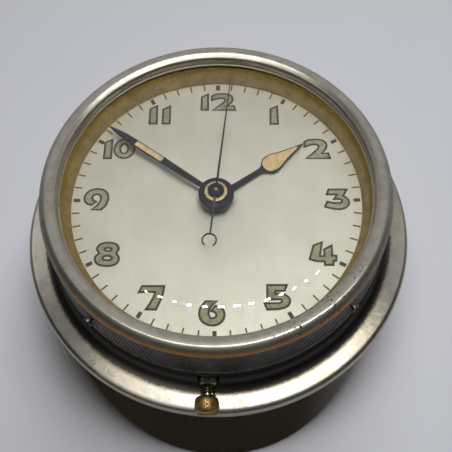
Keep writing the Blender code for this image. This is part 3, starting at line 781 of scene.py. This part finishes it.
def back_cover():
    """A cap with three counterbored screws and shallow turned rings."""
    outer = reach("back_cover")
    skirt = outer - SHEET - 0.3
    profile = [(0, 1.6), (skirt - 0.9, 1.6), (skirt - 0.9, 4.6), (skirt, 4.6), (skirt, 1.6),
               (outer, 1.6, 0.1), (outer, 0, 0.5)]
    for radius in (30, 24, 8):
        profile += [(radius + 0.25, 0, 0.1), (radius, 0.22, 0.1), (radius - 0.25, 0, 0.1)]
    cover = turned(rounded(profile + [(0, 0)]))
    hole = [(0, 3), (1.1, 3), (1.1, 0.9), (2.2, 0.9), (2.2, -1), (0, -1)]
    holes = [moved(turned(hole, SMALL), *polar(PILLAR_RING, degrees)) for degrees in PILLAR_ANGLES]
    show_fine("back_cover", cut(cover, *holes), CASE_BRASS, "case", "brass")
    for number, degrees in enumerate(PILLAR_ANGLES, 1):
        head = screw(1.9, -0.75, -0.1, 0.8, -6.5)
        head.transform(Matrix.Scale(-1, 4, (0, 0, 1)))
        head.flip_normals()
        moved(spun(head, 25 * number), *polar(PILLAR_RING, degrees))
        show_fine(f"cover_screw_{number}", head, STEEL, "case", "steel")


# Dial


def dial_plate():
    thickness = 0.6
    profile = rounded([(3.5, DIAL_FACE, 0.1), (DIAL_RADIUS, DIAL_FACE, 0.15),
                       (DIAL_RADIUS, DIAL_FACE - thickness, 0.1), (3.5, DIAL_FACE - thickness, 0.1)])
    show_fine("dial", turned(profile), SILVER, "case", "silvered_dial")


def minute_track():
    """Sixty marks, with a broad one at each hour and a broader one at twelve."""
    shape = bmesh.new()
    for minute in range(60):
        on_hour = minute % 5 == 0
        width = 1.15 if minute == 0 else 0.98 if on_hour else 0.38
        inner, outer = 34.35, 36.0 if on_hour else 36.3
        turn = Matrix.Rotation(math.radians(DIAL_TWIST + 90 - 6 * minute), 2)
        mark = [tuple(turn @ Vector(corner)) for corner in rectangle(inner, outer, width / 2)]
        prism(shape, mark, PRINT_FOOT, DIAL_FACE + 0.04)
    show("minute_track", mesh_of(shape), PAINT, "case")


TWO = [
    (-3.2, 0.95), (-3.2, 2.45),
    [(-2.2, 3.05), (-0.5, 3.2), (1.2, 3.0), (2.2, 2.35), (2.5, 1.3), (2.2, 0.2)],
    (1.1, -1.15), (2.85, -1.1), (3.2, -2.6), (-3.0, -2.65),
    [(-1.0, -0.95), (0.0, 0.0), (0.4, 0.6), (0.45, 1.1), (0.1, 1.55), (-0.9, 1.7), (-2.0, 1.4)],
]
THREE = [
    (-2.2, 3.05), (2.3, 3.05), (1.25, 1.15),
    [(2.0, 0.75), (2.6, -0.1), (2.55, -1.2), (1.8, -2.1), (0.4, -2.6), (-1.3, -2.5)],
    (-3.35, -1.9), (-2.7, -0.45),
    [(-1.5, -0.8), (-0.3, -0.9), (0.6, -0.75), (1.0, -0.25), (0.6, 0.3)],
    (-1.05, 0.25), (-0.15, 1.6), (-2.75, 1.65),
]
FOUR = [
    (-2.25, 2.4), (-0.25, 3.2), (-0.95, -0.5), (0.25, -0.45), (0.25, 1.3), (2.05, 2.35), (2.05, -0.35),
    (3.05, -0.35), (2.95, -1.65), (2.3, -1.75), (2.2, -2.75), (0.25, -2.75), (0.2, -1.85), (-1.9, -1.75),
    (-3.35, -1.25),
]
FIVE = [
    (-2.7, 3.0), (1.9, 3.0), (1.35, 1.6), (-0.85, 1.6), (-0.95, 0.85),
    [(0.4, 0.85), (1.7, 0.4), (2.45, -0.5), (2.4, -1.6), (1.5, -2.5), (-0.2, -3.0)],
    (-2.8, -3.1), (-3.4, -1.6),
    [(-0.2, -1.6), (0.5, -1.35), (0.65, -1.0), (0.4, -0.6), (-0.3, -0.55)],
    (-2.7, -0.65),
]
SIX = [
    (-1.7, 2.95), (1.1, 3.0),
    [(0.1, 2.3), (-0.6, 1.3), (-0.95, 0.2), (-0.8, -0.8), (-0.1, -1.3), (0.7, -0.95), (0.85, -0.3),
     (0.45, 0.3)],
    (-0.3, 0.5), (0.6, 1.8),
    [(1.5, 1.5), (2.4, 0.8), (2.75, -0.3), (2.4, -1.7), (1.3, -2.7), (-0.1, -3.0), (-1.6, -2.6), (-2.7, -1.6),
     (-3.1, -0.1), (-2.85, 1.3)],
]
SEVEN = [
    (-2.75, 3.2), (2.45, 3.25), [(2.25, 1.6), (1.7, -0.3)], (0.8, -2.6), (-1.6, -2.6),
    [(-0.7, -1.2), (0.05, 0.4)], (0.4, 1.75), (-1.6, 1.9), (-3.5, 1.65),
]
EIGHT = [
    (-0.3, 3.15), (1.2, 2.95), (2.1, 2.3), (2.35, 1.3), (1.9, 0.35), (2.5, -0.6), (2.55, -1.6), (1.9, -2.6),
    (0.6, -3.0), (-0.8, -3.0), (-2.3, -2.6), (-3.1, -1.6), (-3.05, -0.5), (-2.3, 0.3), (-2.85, 1.3),
    (-2.6, 2.3), (-1.7, 2.95),
]
NINE = [
    (-1.3, -2.65), (1.1, -2.6),
    [(2.1, -1.6), (2.6, -0.1), (2.6, 1.3), (1.9, 2.6), (0.5, 3.25), (-1.1, 3.2), (-2.5, 2.5), (-3.25, 1.2),
     (-3.15, -0.1), (-2.4, -1.0)],
    (-1.45, -1.3), (-0.35, -0.35),
    [(-1.0, 0.0), (-1.4, 0.7), (-1.1, 1.5), (-0.3, 1.8), (0.5, 1.5), (0.85, 0.7), (0.7, -0.4), (0.1, -1.4)],
]
ONE = [(-0.9, -2.75), (-0.8, 2.05), (0.95, 2.95), (1.05, -2.75)]


def narrow_one(left, right, low, shoulder, high):
    return [(left, low), (left + 0.05, shoulder), (right - 0.1, high), (right, low)]


def numeral_loops():
    """Each figure on the dial as (outline, holes), in the dial's own axes: x to three and y to twelve."""
    figures = []

    def figure(centre, outline, *holes):
        figures.append((shifted(outline, centre), [shifted(hole, centre) for hole in holes]))

    centres = (15, 26), (26, 15), (30.5, 0), (26, -15), (15, -26), (-0.5, -30), (-14.5, -26.5)
    for centre, outline in zip(centres, (ONE, TWO, THREE, FOUR, FIVE, SIX, SEVEN)):
        figure(centre, trace(outline))
    figure((-26, -15), smooth(EIGHT, closed=True, steps=3),
           ellipse((-0.15, 1.35), 0.9, 0.45, 16), ellipse((-0.2, -0.95), 1.15, 0.65, 16))
    figure((-30, 0), trace(NINE))
    figure((-25.5, 15.5), narrow_one(-3.95, -2.1, -2.9, 1.85, 2.8))
    figure((-25.5, 15.5), ellipse((1.2, 0), 2.65, 2.9), ellipse((1.15, 0), 1.05, 1.5))
    figure((-15.5, 26), narrow_one(-2.7, -0.8, -2.55, 2.2, 3.2))
    figure((-15.5, 26), narrow_one(0.8, 2.7, -2.55, 2.05, 3.05))
    figure((0, 30), narrow_one(-4.4, -2.65, -2.1, 2.1, 3.0))
    figure((1.5, 30.2), shifted(trace(TWO), (0, 0), 0.98, 0.93))
    return figures


def anticlockwise(loop):
    area = sum(x1 * y2 - x2 * y1 for (x1, y1), (x2, y2) in zip(loop, loop[1:] + loop[:1]))
    return loop if area > 0 else loop[::-1]


def numerals():
    line_half_width = 0.29
    lines = bmesh.new()
    fills = []
    for outline, holes in numeral_loops():
        for loop in [outline, *holes]:
            ribbon(lines, anticlockwise(loop), line_half_width, PRINT_FOOT, DIAL_FACE + 0.09)
        fills.append(flat([outline, *holes], PRINT_FOOT, DIAL_FACE + 0.05))
    show("numeral_lines", spun(mesh_of(lines), DIAL_TWIST), PAINT, "case")
    show("numeral_lume", spun(gathered(fills), DIAL_TWIST), NUMERAL_LUME, "case")


# Hands


def placed_hand(mesh, clock_angle):
    return spun(mesh, 90 + DIAL_TWIST - clock_angle)


def hub(radius, low, high, chamfer):
    profile = [(0, high), (radius, high, chamfer), (radius, low, 0.1), (0, low)]
    return turned(rounded(profile), MEDIUM)


def hand_fill(body, window, low, clock_angle):
    """The paint in a hand's window, a little above the metal."""
    fill = eased(flat([window], low + 0.05, low + HAND_SHEET + 0.12), 0.09)
    show(f"{body}_hand_lume", placed_hand(fill, clock_angle), HAND_LUME, body)


def bore(radius):
    """A cutter down the middle of the hands."""
    return turned([(0, 49), (radius, 49), (radius, 41), (0, 41)], MEDIUM)


def hour_hand():
    low = 42.6
    drop = [(15.2, 1.7), (16.0, 2.3), (17.5, 2.55), (19.0, 2.3), (21.0, 1.6), (23.0, 1.1), (25.0, 0.6)]
    side = [(3.6, 0.8), (13.4, 0.62)] + smooth([(14.4, 0.85)] + drop + [(27.3, 0.15)]) + [(27.5, 0.0)]
    edge = 0.34
    inner = [(x, y - edge) for x, y in drop[:-1]] + [(25.0, 0.3)]
    window = mirrored([(14.85, 0.0)] + smooth([(14.95, 0.6)] + inner) + [(25.7, 0.0)])
    blade = flat([mirrored(side), window], low, low + HAND_SHEET)
    body = cut(joined(blade, hub(4.0, DIAL_FACE + 0.3, 43.4, 0.25)), bore(3.3))
    show_fine("hour_hand", placed_hand(body, HOUR_ANGLE), BLUED, "hour", "blued_steel")
    hand_fill("hour", window, low, HOUR_ANGLE)


def minute_hand():
    low = 44.3
    side = [(3.6, 0.7), (5.0, 0.7), (16.6, 0.95), (27.2, 0.95)]
    side += smooth([(28.5, 0.92), (30.0, 0.8), (33.0, 0.45), (34.6, 0.12)]) + [(34.8, 0.0)]
    window = rounded([(*corner, 0.25) for corner in rectangle(17.1, 25.8, 0.68)])
    blade = flat([mirrored(side), window], low, low + HAND_SHEET)
    body = cut(joined(blade, hub(4.4, 43.8, 45.6, 0.45)), bore(2.4))
    show_fine("minute_hand", placed_hand(body, MINUTE_ANGLE), HUB_STEEL, "minute", "blued_steel")
    hand_fill("minute", window, low, MINUTE_ANGLE)
    nut = rounded([(1.4, 46.3, 0.08), (2.8, 46.3, 0.12), (2.8, 45.9, 0.08), (1.4, 45.9, 0.05)])
    show_fine("hand_nut", turned(nut, MEDIUM), BRIGHT_BRASS, "minute", "brass")


def seconds_hand():
    """A thin sweep with an open ring on its tail, under a domed boss and the arbor's bright end."""
    low, high = 46.6, 46.85
    ring = arc((-13.7, 0), 1.85, -142, 142, 40) + arc((-13.7, 0), 1.5, 142, -142, 40)
    sweep = [(-12.0, -0.2), (0, -0.28), (34.2, -0.11), (34.25, 0.0), (34.2, 0.11), (0, 0.28), (-12.0, 0.2)]
    boss = rounded([(0, 47.2), (1.2, 47.18, 0.1), (1.8, 46.85, 0.1), (2.05, 46.75, 0.05), (2.05, low - 0.02),
                    (0, low - 0.02)])
    body = joined(flat([sweep], low, high), flat([ring], low, high))
    body = cut(joined(body, turned(boss, MEDIUM)), bore(0.55))
    show_fine("seconds_hand", placed_hand(body, SECONDS_ANGLE), BLUED, "seconds", "blued_steel")
    tip = [(0, 47.45), (0.25, 47.42), (0.4, 47.3), (0.45, 47.1), (0.45, 46.6), (0, 46.6)]
    show("seconds_arbor_tip", turned(tip, SMALL), BRIGHT_BRASS, "seconds", slot="brass")


# Bezel


def bezel_ring():
    """A roll with a long, nearly flat inner slope that turns over a small lip down to the glass, and a
    skirt that drops inside the rim."""
    lip, crest, low = 38.3, 40.8, 48.65
    turn = 0.75
    slope_drop = 0.55
    crown = BEZEL_TOP - 0.25
    edge_height = crown - slope_drop - turn
    lip_foot = GLASS_TOP - GLASS_RISE + 0.05
    inner = arc((lip + turn, edge_height), turn, 180, 106, 10)
    inner += smooth([inner[-1], (39.9, crown - 0.1), (crest, crown)])[1:]
    outer = shifted(arc((0, 0), 1.0, 90, 0, 14)[1:], (crest, low), BEZEL_EDGE - crest, crown - low)
    profile = inner + outer
    profile += rounded([(BEZEL_EDGE, low), (41.4, low, 0.1), (41.4, 44.6, 0.1), (40.4, 44.6, 0.1),
                        (40.4, lip_foot, 0.1), (lip - 0.3, lip_foot, 0.1), (lip - 0.3, lip_foot + 0.45),
                        (lip, lip_foot + 0.52)])
    show_fine("bezel_ring", turned(profile), BEZEL, "bezel", "nickel")


def glass():
    """A shallow dome of even thickness, with an upright edge."""
    rise, half_span, thickness = GLASS_RISE, 39.4, 0.8
    sphere = (half_span**2 + rise**2) / (2 * rise)
    edge = math.degrees(math.asin(half_span / sphere))
    middle = (0.0, GLASS_TOP - sphere)
    outer = arc(middle, sphere, 90, 90 - edge, 24)
    inner = arc(middle, sphere - thickness, 90 - edge, 90, 24)
    foot_height = foot("glass")
    profile = outer + [(GLASS_RADIUS, outer[-1][1]), (GLASS_RADIUS, foot_height), (inner[0][0], foot_height)]
    show_fine("glass", turned(profile + inner[1:]), GLASS, "bezel", "glass", sharp=4)


def reflector():
    profile = rounded(
        [(38.6, 46.4, 0.1), (GLASS_RADIUS, 46.4, 0.1), (GLASS_RADIUS, 45.8, 0.1), (39.1, 45.8, 0.3),
         (37.05, DIAL_FACE + 0.3, 0.1), (36.35, DIAL_FACE + 0.3, 0.1)])
    show("reflector_fine", turned(profile), GOLD, "bezel", "reflector_ring", slot="brass")


def knurled_rim():
    """Diamond knurling between two plain edges, left plain round the four screws."""
    depth, seat_depth, seat_radius = 0.25, 0.45, 1.9

    def wall(height):
        share = (height - RIM_FOOT - 0.3) / (RIM_TOP - 0.2 - RIM_FOOT - 0.3)
        return RIM_RADIUS + (RIM_EDGE - RIM_RADIUS) * share

    heights = [KNURL_HIGH - KNURL_ROW * row for row in range(KNURL_ROWS + 1)]
    plain = [(RIM_BORE, RIM_TOP), (RIM_EDGE - 0.15, RIM_TOP), (RIM_EDGE, RIM_TOP - 0.2),
             (wall(RIM_TOP - 0.6), RIM_TOP - 0.6)]
    foot_points = [(RIM_RADIUS, RIM_FOOT + 0.3), (RIM_RADIUS - 0.15, RIM_FOOT), (RIM_BORE, RIM_FOOT)]
    screws = [Vector((*polar(wall(RIM_SCREW_HEIGHT), RIM_SCREW_ANGLE + 90 * turn), RIM_SCREW_HEIGHT))
              for turn in range(4)]
    row_of = {height: row for row, height in enumerate(heights)}
    step_degrees = 360 / (2 * KNURL_COUNT)

    def ripple(radius, height, degrees):
        if height not in row_of:
            return radius
        place = Vector((*polar(radius, degrees), height))
        nearest = min((place - centre).length for centre in screws)
        if nearest < seat_radius:
            return radius - seat_depth * min(1.0, seat_radius + 0.3 - nearest)
        valley = (row_of[height] + round(degrees / step_degrees)) % 2
        return radius - depth * valley

    profile = plain + [(wall(height), height) for height in heights] + foot_points
    mesh = turned(profile, 2 * KNURL_COUNT, ripple)
    shape = bmesh.new()
    shape.from_mesh(mesh)
    low, high = KNURL_LOW - 0.01, KNURL_HIGH + 0.01
    quads = [face for face in shape.faces
             if all(low < vert.co.z < high and vert.co.xy.length > 42.0 for vert in face.verts)]
    bmesh.ops.triangulate(shape, faces=quads, quad_method="SHORT_EDGE")
    shape.to_mesh(mesh)
    shape.free()
    show_fine("knurled_rim", mesh, KNURL, "bezel", "knurled_nickel", sharp=24)


def rim_screws():
    for turn in range(4):
        head = spun(screw(1.15, 43.1, 43.9, 0.45, 41.6, 0.4), 30 + 50 * turn)
        head = radial(head, RIM_SCREW_ANGLE + 90 * turn, RIM_SCREW_HEIGHT)
        show_fine(f"rim_screw_{turn + 1}", head, DARK_STEEL, "bezel", "steel")


# Set button


def set_collar():
    """The nickel boss that the spring sits in, with a serrated band."""
    notches, band_foot, band_top = 44, 42.7, 44.0

    def serrated(radius, height, degrees):
        if band_foot < height < band_top:
            return radius * (1 - 0.05 * (1 + math.cos(math.radians(degrees * notches / 2))))
        return radius

    collar = rounded(
        [(0.8, 36.4), (0.8, 41.2), (1.4, 41.2), (1.4, 44.5, 0.1), (1.75, 44.5, 0.15), (2.1, 44.1, 0.15),
         (2.1, 43.7), (2.1, 43.3), (2.1, 43.0, 0.15), (1.8, 42.6, 0.1), (2.0, 42.2, 0.1), (2.0, 36.4)])
    mesh = along_minus_y(turned(collar, 4 * notches, serrated))
    show_fine("set_collar", mesh, COLLAR_NICKEL_PAINTED_LIGHT, "case", "nickel")


def set_spring():
    """A coil between the collar and the washer, with a mesh of its own."""
    turns, steps, low, high = 8, 320, 41.6, 46.4
    coil = [(*polar(1.1, 360 * turns * step / steps), low + (high - low) * step / steps)
            for step in range(steps + 1)]
    spring = show_fine("set_spring", along_minus_y(wire(coil, 0.2)), SPRING_STEEL, "case", "steel")
    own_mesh(spring)


def set_washer():
    washer = rounded([(0.8, 47.0, 0.05), (1.5, 47.0, 0.08), (1.5, 46.7, 0.08), (0.8, 46.7, 0.05)])
    show_fine("set_washer", along_minus_y(turned(washer, MEDIUM)), STEEL, "button_slide", "steel")


def set_stem():
    """A rod with a ten-tooth pinion on its inner end."""
    rod = turned([(0, 49.2), (0.5, 49.2), (0.5, 27.6), (0, 27.6)], SMALL)
    teeth = []
    for tooth in range(10):
        teeth += [polar(1.5, 36 * tooth - 5), polar(1.5, 36 * tooth + 5), polar(0.9, 36 * tooth + 12),
                  polar(0.9, 36 * tooth + 24)]
    hub_end = turned([(0, 27.9), (0.5, 27.9), (0.5, 25.3), (0, 25.3)], SMALL)
    pinion = joined(flat([teeth], 25.6, 27.6), hub_end)
    show_fine("set_stem", along_minus_y(gathered([rod, pinion])), STEEL, "button", "steel")


def set_knob():
    """A round brass knob with a screwdriver slot across its face."""
    knob = rounded(
        [(0.0, 51.15), (2.3, 51.15, 0.2), (2.75, 50.75, 0.2), (2.85, 50.2, 0.2), (2.85, 48.3, 0.3),
         (2.65, 47.6, 0.25), (2.2, 47.3, 0.15), (0.8, 47.3), (0.8, 49.5), (0.0, 49.5)])
    slot = spun(flat([rectangle(-3.2, 3.2, 0.35)], 50.3, 52), 20)
    show_fine("set_knob", along_minus_y(cut(turned(knob, MEDIUM), slot)), WORN_BRASS, "button", "brass")


# CAD nodes shown as they are


def dress_cad_nodes():
    """Each carried-over node gets the look of its material slot in the record."""
    by_slot = {"brass": BRASS, "steel": STEEL, "blued_steel": BLUED, "nickel": CASE, "knurled_nickel": KNURL,
               "silvered_dial": SILVER, "glass": GLASS}
    slot_of = {part["node"]: part["material_slot"] for part in frame["record"]["subparts"]}
    for name, obj in frame["nodes"].items():
        obj.data.materials.clear()
        obj.data.materials.append(by_slot[slot_of[name]])


# Stage


def floor():
    shape = bmesh.new()
    half, cells = 1200, 8
    bmesh.ops.create_grid(shape, x_segments=cells, y_segments=cells, size=half)
    mesh = mesh_of(shape)
    mesh.transform(Matrix.Scale(MM, 4))
    mesh.materials.append(FLOOR)
    added(mesh, "floor")


def lit(name, wanted):
    """A collection of the meshes that the test picks by name, for a lamp to light."""
    group = bpy.data.collections.new(name)
    for obj in bpy.context.scene.objects:
        if obj.type == "MESH" and wanted(obj.name):
            group.objects.link(obj)
    return group


def lamp(name, place, size, power, receivers):
    """A rectangular lamp that faces down and lights only its receivers. The size is its two sides."""
    data = bpy.data.lights.new(name, "AREA")
    data.shape = "RECTANGLE"
    data.size, data.size_y = (side * MM for side in size)
    data.energy = power
    obj = added(data, name)
    obj.location = Vector(place) * MM
    obj.light_linking.receiver_collection = receivers
    return obj


def lamp_bow():
    """A bow of small lamps, which the glass shows as dashes. The plated metal has a weaker copy of it."""
    groups = [("bow", lit("others", lambda name: name not in BOW_SHARES), 1.0)]
    groups += [(f"{name}_bow", lit(f"only_{name}", name.__eq__), part) for name, part in BOW_SHARES.items()]
    middle, radius, height = (-17.0, 225.0), 217.0, 420.0
    first, last, count = 244.0, 315.0, 13
    for number in range(count):
        share = number / (count - 1)
        swell = math.sin(math.pi * share)
        degrees = first + (last - first) * share
        x, y = polar(radius, degrees)
        place = (middle[0] + x, middle[1] + y, height)
        size = (4.5 + 3.0 * swell, 1.1)
        power = BOW_POWER * (0.3 + 0.5 * swell + 0.35 * share)
        for name, receivers, part in groups:
            obj = lamp(f"{name}_lamp_{number + 1}", place, size, power * part, receivers)
            obj.rotation_euler.z = math.radians(degrees + 90)


def floor_sun():
    """A soft sun behind the clock that lights only the floor."""
    data = bpy.data.lights.new("floor_sun", "SUN")
    data.energy = FLOOR_SUN
    data.angle = math.radians(45)
    data.color = (0.95, 0.97, 1.0)
    obj = added(data, "floor_sun")
    obj.rotation_euler = Vector((0.25, 0.95, 1.0)).to_track_quat("Z", "Y").to_euler()
    obj.light_linking.receiver_collection = lit("floor_only", "floor".__eq__)


def flange_lamps():
    """Broad weak lamps, turned to the clock, that light only the case shell."""
    flange_only = lit("flange_only", "case_shell_fine".__eq__)
    for name, place, power in (
        ("flange_left", (-380.0, 190.0, 420.0), 0.16),
        ("flange_right", (380.0, 200.0, 420.0), 0.07),
        ("flange_front", (-120.0, -170.0, 330.0), 0.10),
    ):
        obj = lamp(name, place, (200.0, 200.0), power, flange_only)
        obj.rotation_euler = (-obj.location).to_track_quat("-Z", "Y").to_euler()


def sky():
    """Dim surroundings that only metal and glass show, and a pale backdrop."""
    world = bpy.data.worlds.new("studio")
    world.use_nodes = True
    graph = Graph(world.node_tree)
    place = graph.node("ShaderNodeTexCoord").outputs["Generated"]
    lobes = []
    for elevation, start, end, colour in SKY_LOBES:
        angle = math.radians(elevation)
        facing = graph.vector("DOT_PRODUCT", place, (0.0, math.cos(angle), math.sin(angle)))
        lobes.append(graph.vector("SCALE", colour, graph.band(facing, start, end)))
    total = lobes[0]
    for lobe in lobes[1:]:
        total = graph.vector("ADD", total, lobe)
    surroundings = graph.tree.nodes["Background"]
    graph.feed(surroundings.inputs[0], total)
    backdrop = graph.node("ShaderNodeBackground", {0: BACKDROP})
    seen = graph.node("ShaderNodeLightPath").outputs["Is Camera Ray"]
    choice = graph.node("ShaderNodeMixShader", {0: seen, 1: surroundings.outputs[0], 2: backdrop.outputs[0]})
    graph.feed(graph.tree.nodes["World Output"].inputs[0], choice.outputs[0])
    bpy.context.scene.world = world
    world.cycles_visibility.diffuse = False


def camera():
    azimuth, elevation, distance, roll = 4.31, 62.716, 175.25, -1.9348
    target = Vector((2.72, -7.05, DIAL_FACE)) * MM
    data = bpy.data.cameras.new("camera")
    data.sensor_width = 36
    data.lens = 56.46
    data.clip_start = 0.01
    obj = added(data, "camera")
    turn = rotation(azimuth) @ rotation(90 - elevation, "X") @ rotation(roll)
    obj.matrix_world = Matrix.Translation(target) @ turn @ Matrix.Translation((0, 0, distance * MM))
    bpy.context.scene.camera = obj


case_shell()
rear_can()
back_cover()
dial_plate()
minute_track()
numerals()
hour_hand()
minute_hand()
seconds_hand()
bezel_ring()
glass()
reflector()
knurled_rim()
rim_screws()
set_collar()
set_spring()
set_washer()
set_stem()
set_knob()
dress_cad_nodes()
floor()
lamp_bow()
floor_sun()
flange_lamps()
sky()
camera()

bpy.context.scene.view_settings.view_transform = "Standard"
